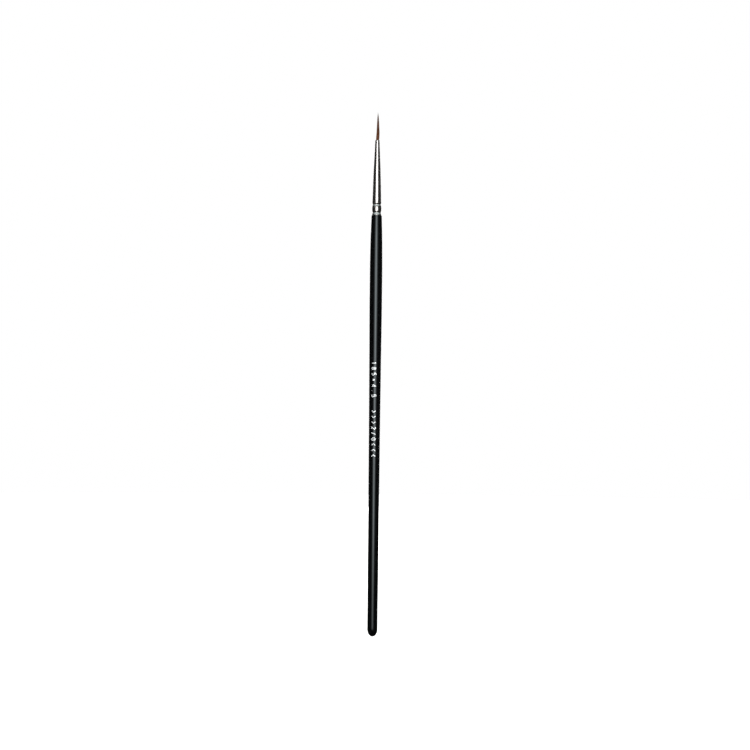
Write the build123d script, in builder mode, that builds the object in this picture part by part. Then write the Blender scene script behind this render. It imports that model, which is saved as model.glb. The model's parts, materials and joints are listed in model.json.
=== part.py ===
"""Fine detail brush: a lacquered wooden handle, a crimped ferrule and a short pointed tuft.

Millimetres. +Z runs up the brush towards the tuft's point. The origin is on the axis, at the middle
of the grip, which is the thickest stretch of the handle. Names that end in _z are heights in that
frame, and sections are drawn as (radius, height) on the XZ plane and revolved about Z.
"""

import os

from build123d import *

# ---------------------------------------------------------------- driving dimensions
brush_length = 185.0
butt_z = -124.0
point_z = butt_z + brush_length

# handle, measured on the outside of its lacquer
butt_radius = 1.82
butt_round_length = 2.7  # the rounded end
butt_land_length = 5.3  # straight stretch just above it
grip_radius = 2.25
grip_length = 12.0  # straight stretch centred on the origin
shoulder_z = 24.62  # the face that the ferrule's rear end stands on
shoulder_radius = 1.87
shoulder_round = 0.2
lacquer_thickness = 0.1
coat_run = 0.1  # how much thicker the coat is at the foot of a straight stretch, as a share

# ferrule, a drawn tube
ferrule_length = 26.5
ferrule_wall = 0.18
ferrule_rear_radius = 1.66
crimp_depth = 0.11
crimp_pitch = 2.8
first_crimp_height = 0.98  # from the ferrule's rear end to the middle of the first groove
mouth_radius = 0.78
mouth_land_length = 0.8  # straight stretch that grips the hair
mouth_z = shoulder_z + ferrule_length

# joint between the handle and the ferrule
tenon_length = 11.4
tenon_tip_chamfer = 0.3
glue_film = 0.04
glue_clearance = 0.001  # keeps the film's inner face clear of the wood's

# hair, its thread and the resin around its roots
hair_radius = 0.58  # where the mouth grips it
root_z = 41.2
root_radius = 0.63
tie_z = 42.0
tie_radius = 0.54
thread_diameter = 0.12
thread_turns = 10
resin_bottom_z = 39.5
resin_top_z = 45.5

# the tuft flexes at two places, each a ball on the piece above in a socket on the piece below
belly_pivot_z = mouth_z + 1.5
belly_radius = 0.55
tip_pivot_z = mouth_z + 4.9
tip_ball_radius = 0.42
point_radius = 0.03
socket_gap = 0.06


def save(piece, name):
    """Label a finished piece and write its STEP file."""
    os.makedirs("parts", exist_ok=True)
    piece.part.label = name
    export_step(piece.part, f"parts/{name}.step")


# ---------------------------------------------------------------- sections
def handle_section(inset):
    """Half section of the turned handle, drawn inset inside the lacquer's outer surface.

    A dipped coat runs down as it dries, so the inset grows by coat_run towards the lower end of each
    straight stretch: the wood under them is very slightly conical, and only the coat is cylindrical.
    """
    butt = butt_radius - inset
    grip = grip_radius - inset
    shoulder = shoulder_radius - inset
    run = coat_run * inset
    bottom_z = butt_z + inset
    top_z = shoulder_z - inset
    land_z = butt_z + butt_round_length
    with BuildSketch(Plane.XZ) as section:
        with BuildLine():
            bullet = Bezier(
                (0, bottom_z),
                (0.55 * butt, bottom_z + 0.03),
                (butt - run, butt_z + 1.2),
                (butt - run, land_z),
            )
            land = Line(bullet @ 1, (butt, land_z + butt_land_length))
            shaft = Spline(
                land @ 1,
                (1.86 - inset, -104),
                (1.925 - inset, -79),
                (2.03 - inset, -48),
                (2.165 - inset, -21),
                (grip - run, -grip_length / 2),
                tangents=((0, 1), (0, 1)),
            )
            belly = Line(shaft @ 1, (grip, grip_length / 2))
            neck = Spline(
                belly @ 1,
                (2.205 - inset, 10.5),
                (2.11 - inset, 16.5),
                (shoulder, top_z - shoulder_round),
                tangents=((0, 1), (-0.04, 1)),
            )
            rounding = Bezier(neck @ 1, (shoulder, top_z), (shoulder - shoulder_round, top_z))
            Polyline(rounding @ 1, (0, top_z), bullet @ 0)
        make_face()
    return section.sketch


def crimped_flank(shift):
    """The ferrule's flank from its rear end to its mouth: two crimps and a cone, moved in by shift."""
    rear = ferrule_rear_radius - shift
    first_z = shoulder_z + first_crimp_height
    second_z = first_z + crimp_pitch
    return Spline(
        (rear, shoulder_z),
        (rear - crimp_depth, first_z),
        (rear - 0.02, (first_z + second_z) / 2),
        (rear - 0.05 - crimp_depth, second_z),
        (rear - 0.09, second_z + 1.2),
        (1.49 - shift, 33.2),
        (1.26 - shift, 40.2),
        (0.92 - shift, 47.6),
        (mouth_radius - shift, mouth_z - 0.3),
        tangents=((0, 1), (-0.04, 1)),
    )


def bore_section(film):
    """Half section of the space inside the ferrule, smaller all round by film."""
    with BuildSketch(Plane.XZ) as section:
        with BuildLine():
            flank = crimped_flank(ferrule_wall + film)
            Polyline(flank @ 1, (0, (flank @ 1).Y), (0, shoulder_z), flank @ 0)
        make_face()
        with Locations((0, shoulder_z)):
            Rectangle(hair_radius - film, ferrule_length, align=(Align.MIN, Align.MIN))
    return section.sketch


# ---------------------------------------------------------------- handle
# The tenon fills the ferrule's rear, less a film of glue, and the crimps are pressed into it.
with BuildPart() as handle_core:
    revolve(bore_section(glue_film), axis=Axis.Z)
    with Locations((0, 0, shoulder_z)):
        Cylinder(
            grip_radius,
            tenon_length,
            align=(Align.CENTER, Align.CENTER, Align.MIN),
            mode=Mode.INTERSECT,
        )
    chamfer(handle_core.edges().group_by(Axis.Z)[-1], tenon_tip_chamfer)
    revolve(handle_section(lacquer_thickness), axis=Axis.Z)
    with Locations((0, 0, shoulder_z)):
        Cylinder(
            ferrule_rear_radius - ferrule_wall - glue_film,
            lacquer_thickness,
            align=(Align.CENTER, Align.CENTER, Align.MAX),
        )
save(handle_core, "handle_core")

# The coat covers the wood from the butt round the shoulder and stops at the tenon.
with BuildPart() as handle_lacquer:
    revolve(handle_section(0), axis=Axis.Z)
    add(handle_core.part, mode=Mode.SUBTRACT)
save(handle_lacquer, "handle_lacquer")

# ---------------------------------------------------------------- ferrule
with BuildPart() as ferrule:
    with BuildSketch(Plane.XZ):
        with BuildLine():
            outside = crimped_flank(0)
            lip = Bezier(outside @ 1, (mouth_radius - 0.01, mouth_z), (mouth_radius - 0.1, mouth_z))
            Polyline(lip @ 1, (0, mouth_z), (0, shoulder_z), outside @ 0)
        make_face()
    revolve(axis=Axis.Z)
    revolve(bore_section(0), axis=Axis.Z, mode=Mode.SUBTRACT)
save(ferrule, "ferrule")

with BuildPart() as tenon_glue:
    revolve(bore_section(0), axis=Axis.Z)
    with Locations((0, 0, shoulder_z)):
        Cylinder(
            grip_radius,
            tenon_length - tenon_tip_chamfer,
            align=(Align.CENTER, Align.CENTER, Align.MIN),
            mode=Mode.INTERSECT,
        )
    revolve(bore_section(glue_film - glue_clearance), axis=Axis.Z, mode=Mode.SUBTRACT)
save(tenon_glue, "tenon_glue")

# ---------------------------------------------------------------- hair roots
# The bundle is waisted where it is tied, held by the mouth, and ends in the belly's socket.
with BuildPart() as tuft_root:
    with BuildSketch(Plane.XZ):
        with BuildLine():
            tie_top_z = tie_z + thread_turns * thread_diameter
            Polyline(
                (0, root_z),
                (root_radius, root_z),
                (tie_radius, tie_z),
                (tie_radius, tie_top_z),
                (hair_radius + 0.03, tie_top_z + 1.6),
                (hair_radius, mouth_z - mouth_land_length),
                (hair_radius, mouth_z),
                (belly_radius, belly_pivot_z),
                (0, belly_pivot_z),
                close=True,
            )
        make_face()
    revolve(axis=Axis.Z)
    with Locations((0, 0, belly_pivot_z)):
        Sphere(belly_radius + socket_gap, mode=Mode.SUBTRACT)
save(tuft_root, "tuft_root")

# The thread's turns lie side by side, pressed flat against the hair on their inner side.
with BuildPart() as binding_thread:
    with BuildSketch(Plane.XZ):
        with Locations((tie_radius, tie_z)):
            Rectangle(thread_diameter / 2, thread_turns * thread_diameter, align=(Align.MIN, Align.MIN))
        for turn in range(thread_turns):
            with Locations((tie_radius + thread_diameter / 2, tie_z + (turn + 0.5) * thread_diameter)):
                Circle(thread_diameter / 2)
    revolve(axis=Axis.Z)
save(binding_thread, "binding_thread")

with BuildPart() as root_epoxy:
    revolve(bore_section(0), axis=Axis.Z)
    with Locations((0, 0, resin_bottom_z)):
        Cylinder(
            grip_radius,
            resin_top_z - resin_bottom_z,
            align=(Align.CENTER, Align.CENTER, Align.MIN),
            mode=Mode.INTERSECT,
        )
    add(tuft_root.part, mode=Mode.SUBTRACT)
    add(binding_thread.part, mode=Mode.SUBTRACT)
save(root_epoxy, "root_epoxy")

# ---------------------------------------------------------------- tuft
with BuildPart() as tuft_belly:
    with BuildSketch(Plane.XZ):
        with BuildLine():
            ball = CenterArc((0, belly_pivot_z), belly_radius, -90, 90)
            swell = Spline(
                ball @ 1,
                (0.50, mouth_z + 3.2),
                (tip_ball_radius, tip_pivot_z),
                tangents=((0, 1), (-0.055, 1)),
            )
            Polyline(swell @ 1, (0, tip_pivot_z), ball @ 0)
        make_face()
    revolve(axis=Axis.Z)
    with Locations((0, 0, tip_pivot_z)):
        Sphere(tip_ball_radius + socket_gap, mode=Mode.SUBTRACT)
save(tuft_belly, "tuft_belly")

with BuildPart() as tuft_point:
    with BuildSketch(Plane.XZ):
        with BuildLine():
            ball = CenterArc((0, tip_pivot_z), tip_ball_radius, -90, 90)
            taper = Bezier(
                ball @ 1,
                (0.40, tip_pivot_z + 1.8),
                (0.20, point_z - 1.4),
                (point_radius, point_z - point_radius),
            )
            Polyline(taper @ 1, (0, point_z), ball @ 0)
        make_face()
    revolve(axis=Axis.Z)
save(tuft_point, "tuft_point")
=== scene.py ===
"""Looks of a fine detail brush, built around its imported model.

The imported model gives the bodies, the joints and the place of every node. Finer surfaces stand in for
the lacquer, the ferrule and the hair, and the nodes inside them keep their shapes and get finishes.
Sizes in the classes are millimetres along and across the brush; MM turns them into the frame's metres.
"""

import json
import logging
import math
from dataclasses import dataclass
from enum import Enum
from typing import Any

import bpy
import numpy as np
from mathutils import Matrix, Vector

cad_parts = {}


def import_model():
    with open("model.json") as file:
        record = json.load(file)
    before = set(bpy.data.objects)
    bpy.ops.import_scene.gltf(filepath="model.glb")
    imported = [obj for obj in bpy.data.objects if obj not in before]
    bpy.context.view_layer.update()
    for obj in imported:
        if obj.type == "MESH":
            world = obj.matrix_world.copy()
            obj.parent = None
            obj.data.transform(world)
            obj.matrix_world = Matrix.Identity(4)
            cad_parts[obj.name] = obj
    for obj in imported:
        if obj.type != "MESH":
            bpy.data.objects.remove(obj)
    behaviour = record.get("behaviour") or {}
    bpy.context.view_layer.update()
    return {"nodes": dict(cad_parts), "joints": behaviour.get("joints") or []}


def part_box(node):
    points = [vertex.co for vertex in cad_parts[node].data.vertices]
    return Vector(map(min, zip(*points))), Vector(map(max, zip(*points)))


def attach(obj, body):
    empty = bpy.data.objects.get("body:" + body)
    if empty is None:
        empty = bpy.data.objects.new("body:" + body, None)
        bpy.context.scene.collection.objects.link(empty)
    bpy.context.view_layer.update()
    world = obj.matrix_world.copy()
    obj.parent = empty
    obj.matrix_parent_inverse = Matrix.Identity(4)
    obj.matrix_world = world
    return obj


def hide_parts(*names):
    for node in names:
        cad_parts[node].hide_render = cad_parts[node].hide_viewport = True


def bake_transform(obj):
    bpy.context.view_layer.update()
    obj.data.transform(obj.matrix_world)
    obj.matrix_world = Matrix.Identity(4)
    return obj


MM = 0.001
Colour = tuple[float, float, float]
VIEW_ABOVE_BUTT = 92.3
FLOOR_BELOW_BUTT = 36.0
log = logging.getLogger("detail_brush")


class Body(Enum):
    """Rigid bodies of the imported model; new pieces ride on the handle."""

    HANDLE = "handle"
    BELLY = "belly"
    POINT = "point"


class Slot(Enum):
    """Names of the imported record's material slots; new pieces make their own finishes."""

    LACQUER = "handle_lacquer"
    FERRULE = "ferrule"
    TUFT = "tuft"


# ---------------------------------------------------------------------- surfaces


def smooth_curve(at: np.ndarray, knots: np.ndarray, values: np.ndarray) -> np.ndarray:
    """Curve through knots, with no overshoot.

    Each span is a cubic. Its slope at a knot is the harmonic mean of the straight slopes on both
    sides, or zero where they differ in sign, and at the first and last knot it is the end's own.

    Args:
        at: Places to read the curve at.
        knots: Rising places of the knots.
        values: The curve's values there.

    Returns:
        The curve's values at the places asked for.
    """
    step = np.diff(knots)
    chord = np.diff(values) / step
    before, after = chord[:-1], chord[1:]
    same = before * after > 0
    mean = np.where(same, 2 * before * after / np.where(same, before + after, 1), 0)
    slope = np.concatenate(([chord[0]], mean, [chord[-1]]))
    span = np.clip(np.searchsorted(knots, at, side="right") - 1, 0, len(step) - 1)
    t = np.clip((at - knots[span]) / step[span], 0, 1)
    rise = t * t * (3 - 2 * t)
    start_bump = t * (1 - t) ** 2 * step[span] * slope[span]
    end_bump = t * t * (t - 1) * step[span] * slope[span + 1]
    return values[span] * (1 - rise) + values[span + 1] * rise + start_bump + end_bump


def bezier(points: np.ndarray, count: int) -> np.ndarray:
    """Cubic through its first and last point: the four points weighted 1, 3, 3, 1 in t and 1 - t.

    Args:
        points: Four control points, one a row.
        count: How many places to work out, ends included.

    Returns:
        One point a row.
    """
    t = np.linspace(0, 1, count)[:, None]
    weights = np.hstack(((1 - t) ** 3, 3 * t * (1 - t) ** 2, 3 * t * t * (1 - t), t**3))
    return weights @ points


def ring_quads(rings: int, sides: int, closed: bool) -> np.ndarray:
    """Quads of a grid of rings, each joined round to itself.

    Args:
        rings: Rings along the surface.
        sides: Vertices in each ring, counter-clockwise as seen from the last ring.
        closed: Whether the last ring also joins the first, as on a torus.

    Returns:
        Vertex numbers, four a row, with the outside of a rising tube on their front.
    """
    ring = np.arange(rings if closed else rings - 1)[:, None]
    side = np.arange(sides)[None, :]
    here, above = ring * sides, (ring + 1) % rings * sides
    beside = (side + 1) % sides
    quads = np.stack((here + side, here + beside, above + beside, above + side), axis=-1)
    return quads.reshape(-1, 4)


def end_fans(rings: int, sides: int) -> np.ndarray:
    """Triangles that close a tube's two ends on poles, the two vertices that follow its rings."""
    side = np.arange(sides)
    beside = (side + 1) % sides
    first, last = rings * sides, rings * sides + 1
    top = (rings - 1) * sides
    bottom_fan = np.stack((np.full(sides, first), beside, side), axis=-1)
    top_fan = np.stack((top + side, top + beside, np.full(sides, last)), axis=-1)
    return np.vstack((bottom_fan, top_fan))


def make_piece(name: str, points: np.ndarray, faces: list[np.ndarray]) -> bpy.types.Object:
    """Smooth-shaded mesh object at the origin.

    Args:
        name: The piece's name.
        points: Vertices in millimetres, in the last axis.
        faces: Arrays of vertex numbers, one face a row.

    Returns:
        The new object, with its place in its mesh.
    """
    mesh = bpy.data.meshes.new(name)
    rows = [row for block in faces for row in block.tolist()]
    mesh.from_pydata((points.reshape(-1, 3) * MM).tolist(), [], rows)
    mesh.polygons.foreach_set("use_smooth", np.ones(len(mesh.polygons), bool))
    mesh.update()
    piece = bpy.data.objects.new(name, mesh)
    bpy.context.scene.collection.objects.link(piece)
    return piece


def lathe(name: str, profile: np.ndarray, sides: int, closed: bool) -> bpy.types.Object:
    """Surface of revolution about Z: radius times cosine, radius times sine, height.

    Args:
        name: The piece's name.
        profile: Radius and height of each ring, rising on the outside of the piece.
        sides: Vertices in each ring.
        closed: True for a profile that is a loop. Otherwise its ends are poles on the axis.

    Returns:
        The new object.
    """
    angle = np.linspace(0, 2 * math.pi, sides, endpoint=False)
    rings = profile if closed else profile[1:-1]
    radius, height = rings[:, :1], np.broadcast_to(rings[:, 1:], (len(rings), sides))
    points = np.stack((radius * np.cos(angle), radius * np.sin(angle), height), axis=-1).reshape(-1, 3)
    faces = [ring_quads(len(rings), sides, closed)]
    if not closed:
        poles = np.column_stack((np.zeros((2, 2)), profile[[0, -1], 1]))
        points = np.vstack((points, poles))
        faces.append(end_fans(len(rings), sides))
    return make_piece(name, points, faces)


def tube_bundle(name: str, lines: np.ndarray, radii: np.ndarray, sides: int) -> bpy.types.Object:
    """Many round tubes, each carried up along its own line and closed on a pole at both ends.

    A ring's points are its line's point plus the ring's radius times the cosine and sine of the side's
    angle along X and Y: the lines run nearly along Z, so level rings are nearly square to them.

    Args:
        name: The piece's name.
        lines: Tubes by rings by three.
        radii: Tubes by rings.
        sides: Vertices in each ring.

    Returns:
        The new object, with one shell per tube.
    """
    tubes, rings, _ = lines.shape
    angle = np.linspace(0, 2 * math.pi, sides, endpoint=False)
    circle = np.stack((np.cos(angle), np.sin(angle), np.zeros(sides)), axis=-1)
    walls = lines[:, :, None, :] + radii[:, :, None, None] * circle
    points = np.concatenate((walls.reshape(tubes, -1, 3), lines[:, [0, -1]]), axis=1)
    first = np.arange(tubes)[:, None, None] * points.shape[1]
    quads = (ring_quads(rings, sides, closed=False)[None] + first).reshape(-1, 4)
    fans = (end_fans(rings, sides)[None] + first).reshape(-1, 3)
    return make_piece(name, points, [quads, fans])


def set_attribute(piece: bpy.types.Object, name: str, values: np.ndarray) -> None:
    """Store one number per vertex of a piece, for its material to read."""
    attribute = piece.data.attributes.new(name, "FLOAT", "POINT")
    attribute.data.foreach_set("value", values.astype(np.float32).ravel())


# ---------------------------------------------------------------------- shader building


class Graph:
    """A node tree with short ways to add nodes and to join them."""

    def __init__(self, tree: bpy.types.NodeTree) -> None:
        """Keep the tree that nodes are added to."""
        self.tree = tree

    def add(self, kind: str, inputs: dict[Any, Any] | None = None, **settings: Any) -> bpy.types.Node:
        """Add a node.

        Args:
            kind: The node's type name.
            inputs: Value, or socket to join, for inputs by name or number.
            settings: Properties of the node itself.

        Returns:
            The new node.
        """
        node = self.tree.nodes.new(kind)
        for name, value in settings.items():
            setattr(node, name, value)
        for key, value in (inputs or {}).items():
            if isinstance(value, bpy.types.NodeSocket):
                self.tree.links.new(value, node.inputs[key])
            else:
                node.inputs[key].default_value = value
        return node

    def math(self, operation: str, *values: Any) -> bpy.types.NodeSocket:
        """Result socket of a Math node."""
        node = self.add("ShaderNodeMath", dict(enumerate(values)), operation=operation)
        return node.outputs[0]

    def ramp(self, value: bpy.types.NodeSocket, low: float, high: float, to: tuple[float, float]) -> Any:
        """Value carried from the range low..high to the range to, and held at its ends."""
        ends = {"From Min": low, "From Max": high, "To Min": to[0], "To Max": to[1], "Value": value}
        return self.add("ShaderNodeMapRange", ends, clamp=True).outputs["Result"]

    def mix(self, share: Any, low: Any, high: Any) -> bpy.types.NodeSocket:
        """Colour between low and high."""
        node = self.add("ShaderNodeMix", data_type="RGBA")
        for socket, value in ((node.inputs[0], share), (node.inputs[6], low), (node.inputs[7], high)):
            if isinstance(value, bpy.types.NodeSocket):
                self.tree.links.new(value, socket)
            else:
                socket.default_value = value
        return node.outputs[2]


def opaque(colour: Colour) -> tuple[float, float, float, float]:
    """The colour with full alpha."""
    return (*colour, 1.0)


def new_group(name: str, inputs: dict[str, float], outputs: list[str]) -> tuple[Graph, Any, Any]:
    """Start a shader node group of number sockets.

    Args:
        name: The group's name.
        inputs: Default of each input.
        outputs: Names of the outputs.

    Returns:
        Its graph, its input node and its output node.
    """
    tree = bpy.data.node_groups.new(name, "ShaderNodeTree")
    for socket, default in inputs.items():
        taken = tree.interface.new_socket(socket, in_out="INPUT", socket_type="NodeSocketFloat")
        taken.default_value = default
    for socket in outputs:
        tree.interface.new_socket(socket, in_out="OUTPUT", socket_type="NodeSocketFloat")
    graph = Graph(tree)
    return graph, graph.add("NodeGroupInput"), graph.add("NodeGroupOutput")


def streak_group() -> bpy.types.NodeTree:
    """Streaks: noise on Object coordinates, squeezed along the brush by Stretch.

    A Stretch under 1 draws streaks that run along the brush, as grain does, and a Stretch over 1
    draws rings round it, as a polishing wheel does. Level runs from 0 to 1.
    """
    graph, given, made = new_group("streaks", {"Scale": 1000.0, "Stretch": 0.1, "Detail": 3.0}, ["Level"])
    place = graph.add("ShaderNodeTexCoord").outputs["Object"]
    along = graph.add("ShaderNodeCombineXYZ", {"X": 1.0, "Y": 1.0, "Z": given.outputs["Stretch"]})
    squeezed = graph.add("ShaderNodeVectorMath", {0: place, 1: along.outputs[0]}, operation="MULTIPLY")
    noise = graph.add(
        "ShaderNodeTexNoise",
        {"Vector": squeezed.outputs[0], "Scale": given.outputs["Scale"], "Detail": given.outputs["Detail"]},
    )
    graph.tree.links.new(noise.outputs[0], made.inputs["Level"])
    return graph.tree


def handling_group() -> bpy.types.NodeTree:
    """Handling marks: soft smudges and hair-fine scuffs on a polished surface.

    Roughness is Polish, plus Smudge where a slow noise is high, plus Scuff along thin lines where a
    stretched noise passes its middle. Marks is the mask of the scuffs alone.
    """
    defaults = {"Polish": 0.08, "Smudge": 0.06, "Scuff": 0.1, "Scale": 400.0}
    graph, given, made = new_group("handling_marks", defaults, ["Roughness", "Marks"])
    place = graph.add("ShaderNodeTexCoord").outputs["Object"]
    slow = graph.add("ShaderNodeTexNoise", {"Vector": place, "Scale": given.outputs["Scale"], "Detail": 4.0})
    smudge = graph.ramp(slow.outputs[0], 0.42, 0.66, (0.0, 1.0))
    turned = {"Vector": place, "Rotation": (0.5, 0.3, 0.0), "Scale": (4.0, 4.0, 0.5)}
    tilt = graph.add("ShaderNodeMapping", turned)
    fine_scale = graph.math("MULTIPLY", given.outputs["Scale"], 4.0)
    fine = graph.add("ShaderNodeTexNoise", {"Vector": tilt.outputs[0], "Scale": fine_scale, "Detail": 2.0})
    off_middle = graph.math("ABSOLUTE", graph.math("SUBTRACT", fine.outputs[0], 0.5))
    marks = graph.ramp(off_middle, 0.0, 0.012, (1.0, 0.0))
    rough = graph.math(
        "ADD",
        graph.math("ADD", given.outputs["Polish"], graph.math("MULTIPLY", smudge, given.outputs["Smudge"])),
        graph.math("MULTIPLY", marks, given.outputs["Scuff"]),
    )
    graph.tree.links.new(rough, made.inputs["Roughness"])
    graph.tree.links.new(marks, made.inputs["Marks"])
    return graph.tree


@dataclass(frozen=True)
class Effects:
    """Node groups that several finishes share."""

    streaks: bpy.types.NodeTree
    handling: bpy.types.NodeTree


def start_material(name: str) -> tuple[bpy.types.Material, Graph, bpy.types.Node]:
    """A new node material with its graph and its Principled shader."""
    material = bpy.data.materials.new(name)
    material.use_nodes = True
    return material, Graph(material.node_tree), material.node_tree.nodes["Principled BSDF"]


def join_bump(graph: Graph, shader: bpy.types.Node, height: Any, depth: float, strength: float) -> None:
    """Let a height in millimetres of depth tilt the shader's normals."""
    settings = {"Height": height, "Distance": depth * MM, "Strength": strength}
    bump = graph.add("ShaderNodeBump", settings)
    graph.tree.links.new(bump.outputs[0], shader.inputs["Normal"])


# ---------------------------------------------------------------------- finishes


@dataclass(frozen=True)
class LacquerFinish:
    """Dipped gloss black lacquer: near-mirror, with a faint orange peel and handling marks."""

    colour: Colour = (0.0012, 0.0013, 0.0014)
    dust: Colour = (0.006, 0.0065, 0.0065)
    polish: float = 0.09
    peel_size: float = 0.9
    peel_depth: float = 0.004

    def make(self, effects: Effects) -> bpy.types.Material:
        """Build the material."""
        material, graph, shader = start_material("gloss_black_lacquer")
        marks = graph.add(
            "ShaderNodeGroup",
            {"Polish": self.polish, "Smudge": 0.05, "Scuff": 0.08, "Scale": 260.0},
            node_tree=effects.handling,
        )
        tint = graph.mix(marks.outputs["Marks"], opaque(self.colour), opaque(self.dust))
        graph.tree.links.new(tint, shader.inputs["Base Color"])
        graph.tree.links.new(marks.outputs["Roughness"], shader.inputs["Roughness"])
        place = graph.add("ShaderNodeTexCoord").outputs["Object"]
        grain = {"Vector": place, "Scale": 1 / (self.peel_size * MM), "Detail": 1.0}
        peel = graph.add("ShaderNodeTexNoise", grain)
        join_bump(graph, shader, peel.outputs[0], self.peel_depth, 0.6)
        shader.inputs["IOR"].default_value = 1.5
        shader.inputs["Specular Tint"].default_value = opaque((0.86, 0.97, 1.0))
        return material


@dataclass(frozen=True)
class NickelFinish:
    """Bright nickel plate on a drawn tube: mirror, with fine rings left by the polishing wheel."""

    colour: Colour = (0.78, 0.75, 0.71)
    tarnish: Colour = (0.62, 0.60, 0.56)
    polish: float = 0.2
    ring_depth: float = 0.0003

    def make(self, effects: Effects) -> bpy.types.Material:
        """Build the material."""
        material, graph, shader = start_material("bright_nickel_plate")
        marks = graph.add(
            "ShaderNodeGroup",
            {"Polish": self.polish, "Smudge": 0.07, "Scuff": 0.12, "Scale": 700.0},
            node_tree=effects.handling,
        )
        rings = graph.add(
            "ShaderNodeGroup",
            {"Scale": 1500.0, "Stretch": 14.0, "Detail": 4.0},
            node_tree=effects.streaks,
        )
        stain = graph.add("ShaderNodeGroup", {"Scale": 500.0, "Stretch": 0.4}, node_tree=effects.streaks)
        share = graph.ramp(stain.outputs["Level"], 0.45, 0.75, (0.0, 0.5))
        tint = graph.mix(share, opaque(self.colour), opaque(self.tarnish))
        graph.tree.links.new(tint, shader.inputs["Base Color"])
        graph.tree.links.new(marks.outputs["Roughness"], shader.inputs["Roughness"])
        join_bump(graph, shader, rings.outputs["Level"], self.ring_depth, 0.5)
        shader.inputs["Metallic"].default_value = 1.0
        return material


@dataclass(frozen=True)
class HairFinish:
    """Fine reddish-brown hair: dark at the root, warmer along its length, tan on strands picked at random."""

    root: Colour = (0.085, 0.026, 0.012)
    shaft: Colour = (0.062, 0.020, 0.009)
    tan: Colour = (0.24, 0.088, 0.032)
    tip: Colour = (0.075, 0.045, 0.034)

    def make(self, effects: Effects) -> bpy.types.Material:
        """Build the material from the strands' own attributes: height 0 to 1 and tone 0 to 1."""
        material, graph, shader = start_material("reddish_brown_hair")
        height = graph.add("ShaderNodeAttribute", attribute_name="hair_height").outputs["Fac"]
        tone = graph.add("ShaderNodeAttribute", attribute_name="hair_tone").outputs["Fac"]
        scales = graph.add(
            "ShaderNodeGroup",
            {"Scale": 9000.0, "Stretch": 2.5, "Detail": 2.0},
            node_tree=effects.streaks,
        )
        rise = graph.mix(graph.ramp(height, 0.0, 0.35, (0.0, 1.0)), opaque(self.root), opaque(self.shaft))
        warm = graph.mix(graph.ramp(tone, 0.68, 1.0, (0.0, 0.8)), rise, opaque(self.tan))
        ends = graph.mix(graph.ramp(height, 0.55, 1.0, (0.0, 0.9)), warm, opaque(self.tip))
        graph.tree.links.new(ends, shader.inputs["Base Color"])
        sheen = graph.ramp(scales.outputs["Level"], 0.3, 0.7, (0.4, 0.55))
        graph.tree.links.new(sheen, shader.inputs["Roughness"])
        join_bump(graph, shader, scales.outputs["Level"], 0.002, 0.4)
        shader.inputs["Specular IOR Level"].default_value = 0.3
        shader.inputs["Specular Tint"].default_value = opaque((1.0, 0.72, 0.5))
        return material


@dataclass(frozen=True)
class FoilFinish:
    """Hot-stamped white-silver foil: bright, satin, thinning in small specks."""

    colour: Colour = (0.90, 0.94, 0.94)
    thin: Colour = (0.50, 0.53, 0.53)

    def make(self, effects: Effects) -> bpy.types.Material:
        """Build the material."""
        material, graph, shader = start_material("stamped_foil")
        specks = graph.add(
            "ShaderNodeGroup",
            {"Scale": 7000.0, "Stretch": 1.0, "Detail": 3.0},
            node_tree=effects.streaks,
        )
        worn = graph.ramp(specks.outputs["Level"], 0.58, 0.72, (0.0, 1.0))
        tint = graph.mix(worn, opaque(self.colour), opaque(self.thin))
        graph.tree.links.new(tint, shader.inputs["Base Color"])
        shader.inputs["Metallic"].default_value = 0.6
        rough = graph.ramp(specks.outputs["Level"], 0.3, 0.7, (0.36, 0.5))
        graph.tree.links.new(rough, shader.inputs["Roughness"])
        join_bump(graph, shader, specks.outputs["Level"], 0.002, 0.3)
        return material


@dataclass(frozen=True)
class StreakedFinish:
    """Wood, thread or resin: two colours in streaks, with the same streaks as a shallow relief."""

    name: str
    dark: Colour
    light: Colour
    scale: float
    stretch: float
    rough: float
    relief: float

    def make(self, effects: Effects) -> bpy.types.Material:
        """Build the material."""
        material, graph, shader = start_material(self.name)
        streaks = graph.add(
            "ShaderNodeGroup",
            {"Scale": self.scale, "Stretch": self.stretch, "Detail": 4.0},
            node_tree=effects.streaks,
        )
        share = graph.ramp(streaks.outputs["Level"], 0.35, 0.65, (0.0, 1.0))
        tint = graph.mix(share, opaque(self.dark), opaque(self.light))
        graph.tree.links.new(tint, shader.inputs["Base Color"])
        rough = graph.ramp(streaks.outputs["Level"], 0.3, 0.7, (0.8 * self.rough, 1.2 * self.rough))
        graph.tree.links.new(rough, shader.inputs["Roughness"])
        join_bump(graph, shader, streaks.outputs["Level"], self.relief, 0.5)
        return material


HIDDEN_FINISHES: dict[str, StreakedFinish] = {
    "handle_core": StreakedFinish(
        "turned_hardwood", (0.42, 0.27, 0.14), (0.66, 0.48, 0.29), 1800.0, 0.06, 0.55, 0.02
    ),
    "tenon_glue": StreakedFinish("set_glue", (0.42, 0.26, 0.09), (0.58, 0.38, 0.16), 900.0, 1.0, 0.22, 0.005),
    "root_epoxy": StreakedFinish(
        "set_epoxy", (0.36, 0.20, 0.06), (0.52, 0.32, 0.12), 700.0, 1.0, 0.16, 0.004
    ),
    "binding_thread": StreakedFinish(
        "waxed_thread", (0.55, 0.51, 0.44), (0.82, 0.79, 0.72), 16000.0, 3.0, 0.7, 0.008
    ),
}


def dress(piece: bpy.types.Object, material: bpy.types.Material) -> None:
    """Make a material the only one on a piece."""
    piece.data.materials.clear()
    piece.data.materials.append(material)


# ---------------------------------------------------------------------- handle


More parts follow.
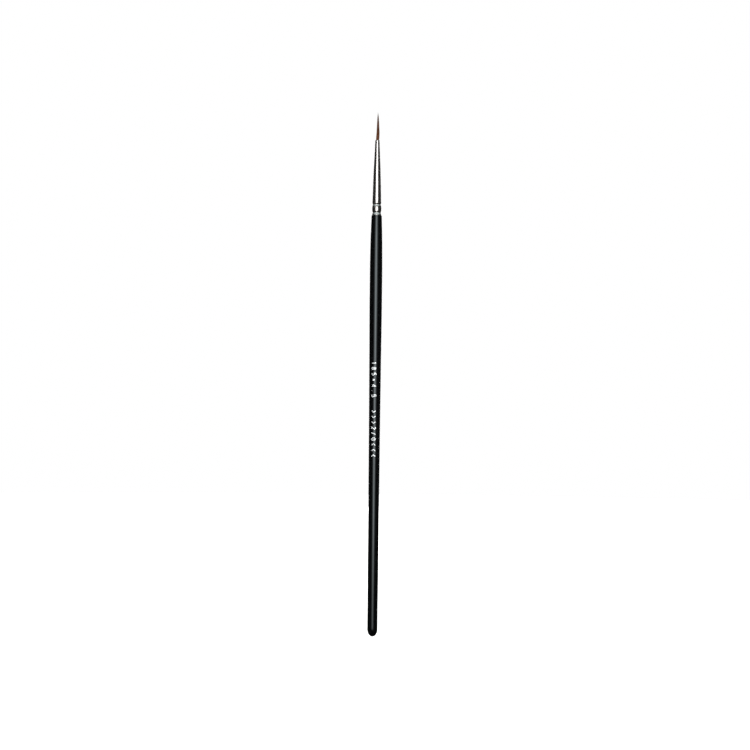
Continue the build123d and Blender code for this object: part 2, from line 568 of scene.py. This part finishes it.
@dataclass
class Handle:
    """Lacquer coat of the turned handle: bullet end, slim shaft, grip, neck and round shoulder."""

    bottom: float
    top: float
    butt_radius: float = 1.82
    butt_round: float = 2.7
    butt_land: float = 5.3
    grip_radius: float = 2.25
    grip_half: float = 6.0
    shoulder_radius: float = 1.87
    shoulder_round: float = 0.2
    tenon_radius: float = 1.43
    coat: float = 0.1
    sides: int = 128

    def radius_at(self, height: np.ndarray) -> np.ndarray:
        """Outer radius of the coat above its bullet end: a smooth curve through the turner's gauge points."""
        land = self.bottom + self.butt_round
        gauge = np.array(
            [
                (land, self.butt_radius),
                (land + self.butt_land, self.butt_radius),
                (-104, 1.86),
                (-79, 1.925),
                (-48, 2.03),
                (-21, 2.165),
                (-self.grip_half, self.grip_radius),
                (self.grip_half, self.grip_radius),
                (10.5, 2.205),
                (16.5, 2.11),
                (self.top - self.shoulder_round, self.shoulder_radius),
            ]
        )
        return smooth_curve(height, gauge[:, 0], gauge[:, 1])

    def outline(self, inset: float) -> np.ndarray:
        """Radius and height from the butt's pole up to the shoulder's rim, drawn inset inside the coat."""
        land = self.bottom + self.butt_round
        bullet = bezier(
            np.array(
                [
                    (0, self.bottom + inset),
                    (0.55 * (self.butt_radius - inset), self.bottom + 0.03 + inset),
                    (self.butt_radius - inset, self.bottom + 1.2),
                    (self.butt_radius - inset, land),
                ]
            ),
            28,
        )
        height = np.linspace(land, self.top - self.shoulder_round, 190)[1:]
        flank = np.column_stack((self.radius_at(height) - inset, height))
        turn = np.linspace(0, math.pi / 2, 9)[1:]
        centre = self.shoulder_radius - self.shoulder_round
        rounding = np.column_stack(
            (
                centre - inset + self.shoulder_round * np.cos(turn),
                self.top - self.shoulder_round + (self.shoulder_round - inset) * np.sin(turn),
            )
        )
        return np.vstack((bullet, flank, rounding))

    def build(self, finish: bpy.types.Material) -> bpy.types.Object:
        """The coat as a closed shell: its outside up, across the rim to the tenon, and back down inside."""
        outside = self.outline(0.0)
        rim = np.array([(self.tenon_radius, self.top), (self.tenon_radius, self.top - self.coat)])
        inside = self.outline(self.coat)[::-1]
        piece = lathe("gloss_handle_coat", np.vstack((outside, rim, inside)), self.sides, closed=False)
        dress(piece, finish)
        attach(piece, Body.HANDLE.value)
        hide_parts("handle_lacquer")
        return piece


# ---------------------------------------------------------------------- ferrule


@dataclass
class Ferrule:
    """Drawn tube with two crimps at its rear, a long cone and a lip rolled in round the hair.

    The metal between the crimps swells into a bead with a parabolic flank. A short shoulder leads from
    the upper crimp to the cone, a longer one from the lower crimp to the rear edge, and a narrow groove
    runs along the bottom of each. The bore follows the crimps no deeper than bore_press, which keeps it
    clear of the tenon and its glue.
    """

    bottom: float
    top: float
    rear_radius: float = 1.685
    wall: float = 0.18
    bead_depth: float = 0.16
    shoulder: float = 0.72
    groove_depth: float = 0.06
    groove_half: float = 0.4
    bore_press: float = 0.1
    crimp_pitch: float = 2.8
    first_crimp: float = 0.98
    mouth_radius: float = 0.78
    hair_radius: float = 0.58
    lip: float = 0.12
    sides: int = 128

    def cone(self, height: np.ndarray) -> np.ndarray:
        """Outer radius without the crimps: a smooth curve through the drawing die's gauge points."""
        second_crimp = self.bottom + self.first_crimp + self.crimp_pitch
        gauge = np.array(
            [
                (self.bottom, self.rear_radius),
                (second_crimp, self.rear_radius - 0.025),
                (second_crimp + 1.4, self.rear_radius - 0.115),
                (33.2, 1.49),
                (40.2, 1.26),
                (47.6, 0.92),
                (self.top - self.lip, self.mouth_radius),
            ]
        )
        return smooth_curve(height, gauge[:, 0], gauge[:, 1])

    def crimps(self, height: np.ndarray) -> np.ndarray:
        """How far the crimping wheels pressed in: the bead's parabola, the shoulders and the grooves."""
        lower = self.bottom + self.first_crimp
        upper = lower + self.crimp_pitch
        below, above = (lower - height) / self.first_crimp, (height - upper) / self.shoulder
        beyond = np.clip(np.maximum(below, above), 0, 1)
        across = np.clip((2 * height - lower - upper) / self.crimp_pitch, -1, 1)
        pressed = self.bead_depth * across**2 * (1 + np.cos(math.pi * beyond)) / 2
        away = np.minimum(abs(height - lower), abs(height - upper))
        groove = 1 + np.cos(math.pi * np.clip(away / self.groove_half, 0, 1))
        return pressed + self.groove_depth * groove / 2

    def build(self, finish: bpy.types.Material) -> bpy.types.Object:
        """The tube as a loop of rings: outside up, round the lip, and down the bore to the rear edge."""
        crimped = np.linspace(self.bottom + 0.04, self.bottom + 5.4, 110)
        tapered = np.linspace(self.bottom + 5.4, self.top - self.lip, 90)[1:]
        height = np.concatenate((crimped, tapered))
        plain, pressed = self.cone(height), self.crimps(height)
        outer = plain - pressed
        outside = np.column_stack((outer, height))
        turn = np.linspace(0, math.pi, 13)[1:-1]
        middle = (self.mouth_radius + self.hair_radius) / 2
        half_wall = (self.mouth_radius - self.hair_radius) / 2
        lip = np.column_stack((middle + half_wall * np.cos(turn), self.top + self.lip * (np.sin(turn) - 1)))
        inner = plain - self.wall - np.minimum(pressed, self.bore_press)
        bore = np.column_stack((np.maximum(inner, self.hair_radius), height))[::-1]
        rear_edge = np.array(
            [
                (self.rear_radius - self.wall, self.bottom),
                (self.rear_radius - 0.04, self.bottom),
            ]
        )
        loop = np.vstack((outside, lip, bore, rear_edge))
        piece = lathe("crimped_ferrule", loop, self.sides, closed=True)
        dress(piece, finish)
        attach(piece, Body.HANDLE.value)
        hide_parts("ferrule")
        return piece


# ---------------------------------------------------------------------- tuft


@dataclass
class Tuft:
    """Pointed bundle of tapered hairs, drawn to one side at its tip by the shape it was dressed to.

    The two lengths of hair meet upper_bend plus split_gap below the point's hinge. Neither hinge bends the
    hair.
    """

    mouth: float
    tip: float
    hairs: int = 240
    sides: int = 6
    packing: float = 0.85
    sunk: float = 0.45
    mouth_radius: float = 0.575
    lean: float = 0.18
    waviness: float = 0.016
    lower_bend: float = 1.4
    upper_bend: float = 1.5
    split_gap: float = 0.1
    seed: int = 7

    def envelope(self, height: np.ndarray) -> np.ndarray:
        """Radius of the whole bundle at a height above the mouth: a smooth curve from belly to point."""
        length = self.tip - self.mouth
        gauge = np.array(
            [
                (-self.sunk, self.mouth_radius - 0.01),
                (0.0, self.mouth_radius),
                (0.9, self.mouth_radius),
                (2.9, 0.52),
                (5.0, 0.42),
                (7.1, 0.30),
                (8.3, 0.22),
                (9.2, 0.145),
                (length, 0.045),
            ]
        )
        return smooth_curve(height, gauge[:, 0], gauge[:, 1])

    def hair_ends(self, ring: np.ndarray, draw: np.ndarray) -> np.ndarray:
        """Height that each hair reaches: the middle ones make the point, the outer ones stop short."""
        length = self.tip - self.mouth
        return length * (1 - 0.36 * ring**1.8 * (0.25 + 0.75 * draw))

    def strands(self, start: float, end: float, rings: int) -> tuple[np.ndarray, np.ndarray, np.ndarray]:
        """Hairs between two heights above the mouth.

        Hair number n starts at the n-th seed of a sunflower head: its ring is the square root of its
        share of all hairs and its angle is n golden angles. Going up, the ring's radius follows the
        envelope, two slow waves of its own move the hair a little, and the whole bundle leans as the
        sine of 0.8 half turns times the 0.6th power of the height. A hair's thickness keeps the
        bundle's section filled with the hairs that are left, and runs out at the hair's own end. Two
        rings close together at each end keep the shading of a hair's wall straight up to its cut.

        Args:
            start: Lower height.
            end: Upper height, where hairs that go on are cut for the next stretch.
            rings: Rings along each hair.

        Returns:
            Lines (hairs by rings by three), radii (hairs by rings), and heights (hairs by rings).
        """
        random = np.random.default_rng(self.seed)
        draw, phase, pace = random.random((3, self.hairs))
        number = np.arange(self.hairs)
        ring = np.sqrt((number + 0.5) / self.hairs)
        angle = number * math.pi * (3 - math.sqrt(5))
        reach = self.hair_ends(ring, draw)
        kept = reach > start
        top = np.minimum(reach, end)[kept, None]
        along = np.concatenate(([0, 0.001], np.linspace(0, 1, rings - 2)[1:-1], [0.999, 1]))
        height = start + (top - start) * along[None, :]
        bundle = self.envelope(height)
        left = (reach[None, None, :] > height[:, :, None]).sum(axis=2) + 1
        full = bundle * np.sqrt(self.packing / left)
        thick = self.mouth_radius * math.sqrt(self.packing / self.hairs)
        run = np.clip(1 - (height + self.sunk) / (reach[kept, None] + self.sunk), 0, 1)
        radii = np.minimum(full, 1.25 * thick) * np.clip(4.5 * run, 0.02, 1) ** 0.6
        sway = self.waviness * np.clip(height, 0, 2) / 2
        beat = 2 * math.pi * (phase[kept, None] + (0.25 + 0.3 * pace[kept, None]) * height / 2)
        spread = (ring[kept, None] * (bundle - radii)).clip(0)
        turned = angle[kept, None]
        rise = np.clip(height, 0, None) / (self.tip - self.mouth)
        shift = self.lean * np.sin(0.8 * math.pi * rise**0.6)
        across = spread * np.cos(turned) + sway * np.sin(beat) * bundle / self.mouth_radius + shift
        away = spread * np.sin(turned) + sway * np.cos(1.3 * beat) * bundle / self.mouth_radius
        lines = np.stack((across, away, self.mouth + height), axis=-1)
        return lines, radii, height

    def build_stretch(self, name: str, start: float, end: float, rings: int) -> bpy.types.Object:
        """One stretch of the bundle, with each hair's height and tone stored for the finish."""
        lines, radii, height = self.strands(start, end, rings)
        piece = tube_bundle(name, lines, radii, self.sides)
        tubes = len(lines)
        share = np.clip(height / (self.tip - self.mouth), 0, 1)
        walls = np.repeat(share, self.sides, axis=1)
        set_attribute(piece, "hair_height", np.concatenate((walls, share[:, [0, -1]]), axis=1))
        tone = np.random.default_rng(self.seed + 1).random(self.hairs)[:tubes, None]
        set_attribute(piece, "hair_tone", np.broadcast_to(tone, (tubes, rings * self.sides + 2)))
        return piece

    def build(self, finish: bpy.types.Material, hinges: dict[str, float]) -> list[bpy.types.Object]:
        """Both stretches of the tuft, split below the point's hinge.

        Args:
            finish: The hair's material.
            hinges: Height of each hinge above the mouth, by the body that it turns.

        Returns:
            The lower and the upper piece.
        """
        belly, point = hinges[Body.BELLY.value], hinges[Body.POINT.value]
        split = point - self.upper_bend - self.split_gap
        lower = self.build_stretch("tuft_lower_hair", -self.sunk, split, 26)
        upper = self.build_stretch("tuft_upper_hair", split, self.tip - self.mouth, 44)
        self.bend(lower)
        self.bend(upper)
        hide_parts("tuft_root", "tuft_belly")
        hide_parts("tuft_point")
        for piece in (lower, upper):
            dress(piece, finish)
        return [lower, upper]

    def bend(self, piece: bpy.types.Object) -> None:
        """Bake the piece's place into its mesh; nothing turns it about a hinge."""
        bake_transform(piece)


# ---------------------------------------------------------------------- stamped marks


class Sign(Enum):
    """Signs of the stamped marks: plain figures, a cross, a dot, a slash and two ornaments."""

    ZERO = "zero"
    ONE = "one"
    TWO = "two"
    FOUR = "four"
    FIVE = "five"
    EIGHT = "eight"
    SLASH = "slash"
    DOT = "dot"
    CROSS = "cross"
    CHEVRON = "chevron"
    BACK_CHEVRON = "back_chevron"


def straight(*points: tuple[float, float]) -> np.ndarray:
    """Evenly spaced points along straight runs between the ones given, for a stroke."""
    corners = np.array(points, float)
    lengths = np.concatenate(([0], np.cumsum(np.linalg.norm(np.diff(corners, axis=0), axis=1))))
    at = np.linspace(0, lengths[-1], 14 * (len(corners) - 1))
    return np.column_stack([np.interp(at, lengths, corners[:, axis]) for axis in (0, 1)])


def arc(centre: tuple[float, float], half: tuple[float, float], turn: tuple[float, float]) -> np.ndarray:
    """Points along an ellipse's arc: centre plus half widths times cosine and sine, in degrees of turn."""
    angle = np.radians(np.linspace(*turn, 28))
    return np.column_stack((centre[0] + half[0] * np.cos(angle), centre[1] + half[1] * np.sin(angle)))


def strokes_of(sign: Sign) -> tuple[float, list[tuple[np.ndarray, bool]]]:
    """Width of a sign that is 1 tall, and its pen strokes, each with whether it closes on itself."""
    foot = straight((0.42, 0.48), (0.08, 0.08), (0.55, 0.08))
    hook = np.vstack((arc((0.3, 0.69), (0.22, 0.23), (165, -38)), foot))
    bowl = np.vstack(
        (straight((0.5, 0.92), (0.14, 0.92), (0.11, 0.52)), arc((0.28, 0.34), (0.24, 0.26), (110, -140)))
    )
    drawn = {
        Sign.ZERO: (0.62, [(arc((0.31, 0.5), (0.23, 0.42), (0, 360))[:-1], True)]),
        Sign.ONE: (0.46, [(straight((0.08, 0.72), (0.27, 0.92), (0.27, 0.08)), False)]),
        Sign.TWO: (0.62, [(hook, False)]),
        Sign.FOUR: (0.66, [(straight((0.44, 0.06), (0.44, 0.92), (0.06, 0.3), (0.6, 0.3)), False)]),
        Sign.FIVE: (0.62, [(bowl, False)]),
        Sign.EIGHT: (
            0.62,
            [
                (arc((0.31, 0.71), (0.18, 0.2), (0, 360))[:-1], True),
                (arc((0.31, 0.29), (0.22, 0.22), (0, 360))[:-1], True),
            ],
        ),
        Sign.SLASH: (0.56, [(straight((0.08, 0.04), (0.48, 0.96)), False)]),
        Sign.DOT: (0.3, [(straight((0.13, 0.08), (0.17, 0.14)), False)]),
        Sign.CROSS: (
            0.62,
            [
                (straight((0.1, 0.26), (0.52, 0.7)), False),
                (straight((0.1, 0.7), (0.52, 0.26)), False),
            ],
        ),
        Sign.CHEVRON: (0.6, [(straight((0.12, 0.08), (0.48, 0.5), (0.12, 0.92)), False)]),
        Sign.BACK_CHEVRON: (0.6, [(straight((0.48, 0.08), (0.12, 0.5), (0.48, 0.92)), False)]),
    }
    return drawn[sign]


@dataclass
class StampedMark:
    """A row of signs in foil, read down the handle, with their tops towards +X."""

    name: str
    signs: tuple[Sign, ...]
    start: float
    length: float
    tall: float = 1.75
    foot_angle: float = -34.0
    stroke: float = 0.285
    proud: float = 0.012
    sides: int = 12

    def ribbon(self, path: np.ndarray, closed: bool, handle: Handle) -> tuple[np.ndarray, list[np.ndarray]]:
        """One stroke laid on the handle.

        The path's distance along the row runs down Z and its distance up the sign runs round the
        handle. The section is an ellipse as wide as the stroke and twice as deep as it stands proud.
        Its width shrinks to nothing over the last half width of an open stroke, as a half circle does.

        Args:
            path: Points along the row and up the sign, in millimetres.
            closed: Whether the stroke is a loop.
            handle: The handle that it lies on.

        Returns:
            Vertices and faces.
        """
        ahead = np.roll(path, -1, axis=0) - np.roll(path, 1, axis=0) if closed else np.gradient(path, axis=0)
        ahead /= np.linalg.norm(ahead, axis=1, keepdims=True)
        side_way = np.column_stack((ahead[:, 1], -ahead[:, 0]))
        half = np.full(len(path), self.stroke / 2)
        if not closed:
            walked = np.concatenate(([0], np.cumsum(np.linalg.norm(np.diff(path, axis=0), axis=1))))
            to_end = np.minimum(walked, walked[-1] - walked) / (self.stroke / 2)
            half *= np.sqrt(np.clip(1 - (1 - np.clip(to_end, 0.02, 1)) ** 2, 0, 1))
        turn = np.linspace(0, 2 * math.pi, self.sides, endpoint=False)
        flat = path[:, None, :] + (half[:, None] * np.cos(turn))[:, :, None] * side_way[:, None, :]
        height = self.start - flat[:, :, 0]
        lift = self.proud * (0.35 + np.sin(turn)) * (half / half.max())[:, None] ** 0.5
        radius = handle.radius_at(height.ravel()).reshape(height.shape)
        angle = math.radians(self.foot_angle) + flat[:, :, 1] / radius
        out = radius + lift
        points = np.stack((out * np.sin(angle), -out * np.cos(angle), height), axis=-1)
        rings = len(path)
        if closed:
            return points.reshape(-1, 3), [ring_quads(rings, self.sides, closed=True)]
        poles = points[[0, -1]].mean(axis=1)
        quads = ring_quads(rings, self.sides, closed=False)
        return np.vstack((points.reshape(-1, 3), poles)), [quads, end_fans(rings, self.sides)]

    def build(self, finish: bpy.types.Material, handle: Handle) -> bpy.types.Object:
        """All the signs of the row in one piece, with the same gap after each sign's own width."""
        drawn = [strokes_of(sign) for sign in self.signs]
        widths = self.tall * 0.95 * np.array([width for width, _ in drawn])
        gap = (self.length - widths.sum()) / (len(drawn) - 1)
        starts = np.concatenate(([0], np.cumsum(widths + gap)[:-1]))
        points, faces, count = [], [], 0
        for place, (_, strokes) in zip(starts, drawn):
            for stroke, closed in strokes:
                path = stroke * (0.95 * self.tall, self.tall) + (place, 0)
                vertices, blocks = self.ribbon(path, closed, handle)
                points.append(vertices)
                faces += [block + count for block in blocks]
                count += len(vertices)
        piece = make_piece(self.name, np.vstack(points), faces)
        dress(piece, finish)
        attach(piece, Body.HANDLE.value)
        return piece


SIZE_ROW = (Sign.ONE, Sign.EIGHT, Sign.FIVE, Sign.CROSS, Sign.FOUR, Sign.DOT, Sign.FIVE)
NUMBER_ROW = (
    Sign.CHEVRON,
    Sign.CHEVRON,
    Sign.CHEVRON,
    Sign.TWO,
    Sign.SLASH,
    Sign.ZERO,
    Sign.BACK_CHEVRON,
    Sign.BACK_CHEVRON,
    Sign.BACK_CHEVRON,
)


# ---------------------------------------------------------------------- studio


@dataclass
class Studio:
    """White surround, pale floor, two large soft lights and the camera.

    Sizes are metres, except floor_radius, which is millimetres. ceiling_rise is in degrees, and
    ceiling_ahead is a share of the ray's direction.
    """

    centre_height: float
    floor_height: float
    camera_distance: float = 0.735
    lens: float = 100.0
    roll: float = 0.6
    light_distance: float = 1.3
    light_height: float = 0.06
    light_size: tuple[float, float] = (2.4, 1.4)
    glow: tuple[float, float] = (0.4, 0.33)
    falloff: tuple[float, float] = (1.5, 4.0)
    radiance: float = 5.6
    flag_glow: Colour = (0.0028, 0.0032, 0.0033)
    ceiling_glow: Colour = (0.68, 0.80, 0.83)
    ceiling_rise: tuple[float, float] = (21.0, 30.0)
    ceiling_ahead: tuple[float, float] = (0.05, 0.45)
    floor_radius: float = 1500.0
    floor_sides: int = 96

    def build_camera(self) -> None:
        """Level camera in front of the brush, looking along +Y and rolled by the brush's own lean."""
        data = bpy.data.cameras.new("camera")
        data.lens = self.lens
        data.clip_end = 10.0
        camera = bpy.data.objects.new("camera", data)
        bpy.context.scene.collection.objects.link(camera)
        level = Matrix.Rotation(math.pi / 2, 4, "X")
        rolled = level @ Matrix.Rotation(math.radians(self.roll), 4, "Z")
        camera.matrix_world = Matrix.Translation((0, -self.camera_distance, self.centre_height)) @ rolled
        bpy.context.scene.camera = camera

    def build_light(self, name: str, way: float, share: float) -> None:
        """A large soft light whose glow falls off from its middle.

        The glow is the light's radiance times exp(-|x / a|^p) across and exp(-|z / b|^q) up and down,
        so it has a narrow core, which gloss black shows, and wide wings, which bright metal shows.

        Args:
            name: The light's name.
            way: -1 for in front of the brush, 1 for behind it.
            share: Share of the full radiance.
        """
        data = bpy.data.lights.new(name, "AREA")
        data.shape = "RECTANGLE"
        data.size, data.size_y = self.light_size
        data.energy = 1.0
        data.use_nodes = True
        graph = Graph(data.node_tree)
        emission = data.node_tree.nodes["Emission"]
        at = graph.add("ShaderNodeSeparateXYZ", {0: graph.add("ShaderNodeNewGeometry").outputs["Parametric"]})
        across, along = (
            graph.math("MULTIPLY", graph.math("SUBTRACT", at.outputs[axis], 0.5), size / reach)
            for axis, size, reach in zip("XY", self.light_size, self.glow)
        )
        fade = graph.math(
            "ADD",
            graph.math("POWER", graph.math("ABSOLUTE", across), self.falloff[0]),
            graph.math("POWER", graph.math("ABSOLUTE", along), self.falloff[1]),
        )
        glow = graph.math("EXPONENT", graph.math("MULTIPLY", fade, -1.0))
        power = math.pi * data.size * data.size_y * self.radiance * share
        graph.tree.links.new(graph.math("MULTIPLY", glow, power), emission.inputs["Strength"])
        lamp = bpy.data.objects.new(name, data)
        bpy.context.scene.collection.objects.link(lamp)
        place = Vector((0, way * self.light_distance, self.light_height))
        facing = Vector((0, -way, 0)).to_track_quat("-Z", "Y").to_matrix().to_4x4()
        lamp.matrix_world = Matrix.Translation(place) @ facing
        lamp.visible_camera = False

    def build_world(self) -> None:
        """White to the eye and to soft light, nearly black in reflections, as between black flags.

        Reflections also see a pale ceiling, which fades in between two heights of the ray's direction
        and reaches only over the front and the back, as boards hung over the lights would.
        """
        world = bpy.data.worlds.new("surround")
        world.use_nodes = True
        bpy.context.scene.world = world
        graph = Graph(world.node_tree)
        white = world.node_tree.nodes["Background"]
        white.inputs["Color"].default_value = opaque((1.0, 1.0, 1.0))
        white.inputs["Strength"].default_value = 1.0
        way = graph.add("ShaderNodeTexCoord").outputs["Generated"]
        axes = graph.add("ShaderNodeSeparateXYZ", {0: way}).outputs
        low, high = (math.sin(math.radians(angle)) for angle in self.ceiling_rise)
        raised = graph.ramp(axes["Z"], low, high, (0.0, 1.0))
        ahead = graph.ramp(graph.math("ABSOLUTE", axes["Y"]), *self.ceiling_ahead, (0.0, 1.0))
        share = graph.math("MULTIPLY", raised, ahead)
        seen = graph.mix(share, opaque(self.flag_glow), opaque(self.ceiling_glow))
        flags = graph.add("ShaderNodeBackground", {"Color": seen, "Strength": 1.0})
        ray = graph.add("ShaderNodeLightPath").outputs["Is Glossy Ray"]
        either = graph.add("ShaderNodeMixShader", {0: ray, 1: white.outputs[0], 2: flags.outputs[0]})
        out = world.node_tree.nodes["World Output"]
        graph.tree.links.new(either.outputs[0], out.inputs["Surface"])

    def build_floor(self) -> bpy.types.Object:
        """Pale round floor below the brush: one flat face whose rim is a circle."""
        turn = np.linspace(0, 2 * math.pi, self.floor_sides, endpoint=False)
        level = np.full(self.floor_sides, self.floor_height / MM)
        rim = np.column_stack((self.floor_radius * np.cos(turn), self.floor_radius * np.sin(turn), level))
        floor = make_piece("floor", rim, [np.arange(self.floor_sides)[None, :]])
        material, _, shader = start_material("pale_floor")
        shader.inputs["Base Color"].default_value = opaque((0.92, 0.92, 0.92))
        shader.inputs["Roughness"].default_value = 0.9
        shader.inputs["Emission Color"].default_value = opaque((1.0, 1.0, 1.0))
        shader.inputs["Emission Strength"].default_value = 0.6
        dress(floor, material)
        floor.visible_glossy = False
        return floor

    def build(self) -> None:
        """Set up the camera, the lights, the surround and the floor."""
        self.build_camera()
        self.build_light("front_light", -1.0, 1.0)
        self.build_light("back_light", 1.0, 1.0)
        self.build_world()
        self.build_floor()
        bpy.context.scene.view_settings.view_transform = "Standard"


# ---------------------------------------------------------------------- assembly


def node_span(node: str) -> tuple[float, float]:
    """Lowest and highest point of a CAD node, in millimetres."""
    low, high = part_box(node)
    return low.z / MM, high.z / MM


def hinge_heights(joints: list[dict[str, Any]], mouth: float) -> dict[str, float]:
    """Height of each hinge above the ferrule's mouth in millimetres, by the body that it turns."""
    return {joint["child"]: joint["pos_m"][2] / MM - mouth for joint in joints}


def main() -> None:
    """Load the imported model, build every piece round it and set up the studio."""
    logging.basicConfig(level=logging.INFO, format="%(name)s: %(message)s")
    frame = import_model()
    effects = Effects(streak_group(), handling_group())

    handle = Handle(*node_span("handle_lacquer"))
    foil = FoilFinish().make(effects)
    ferrule = Ferrule(*node_span("ferrule"))
    tuft = Tuft(mouth=ferrule.top, tip=node_span("tuft_point")[1])
    made = [
        handle.build(LacquerFinish().make(effects)),
        ferrule.build(NickelFinish().make(effects)),
        *tuft.build(HairFinish().make(effects), hinge_heights(frame["joints"], ferrule.top)),
        StampedMark("size_figures", SIZE_ROW, start=-27.1, length=12.4).build(foil, handle),
        StampedMark("number_figures", NUMBER_ROW, start=-44.0, length=16.6).build(foil, handle),
    ]
    for node, finish in HIDDEN_FINISHES.items():
        dress(frame["nodes"][node], finish.make(effects))
        made.append(frame["nodes"][node])
    for piece in made:
        log.info("%s: %d vertices, %d faces", piece.name, len(piece.data.vertices), len(piece.data.polygons))

    middle, ground = handle.bottom + VIEW_ABOVE_BUTT, handle.bottom - FLOOR_BELOW_BUTT
    Studio(centre_height=middle * MM, floor_height=ground * MM).build()


if __name__ == "__main__":
    main()
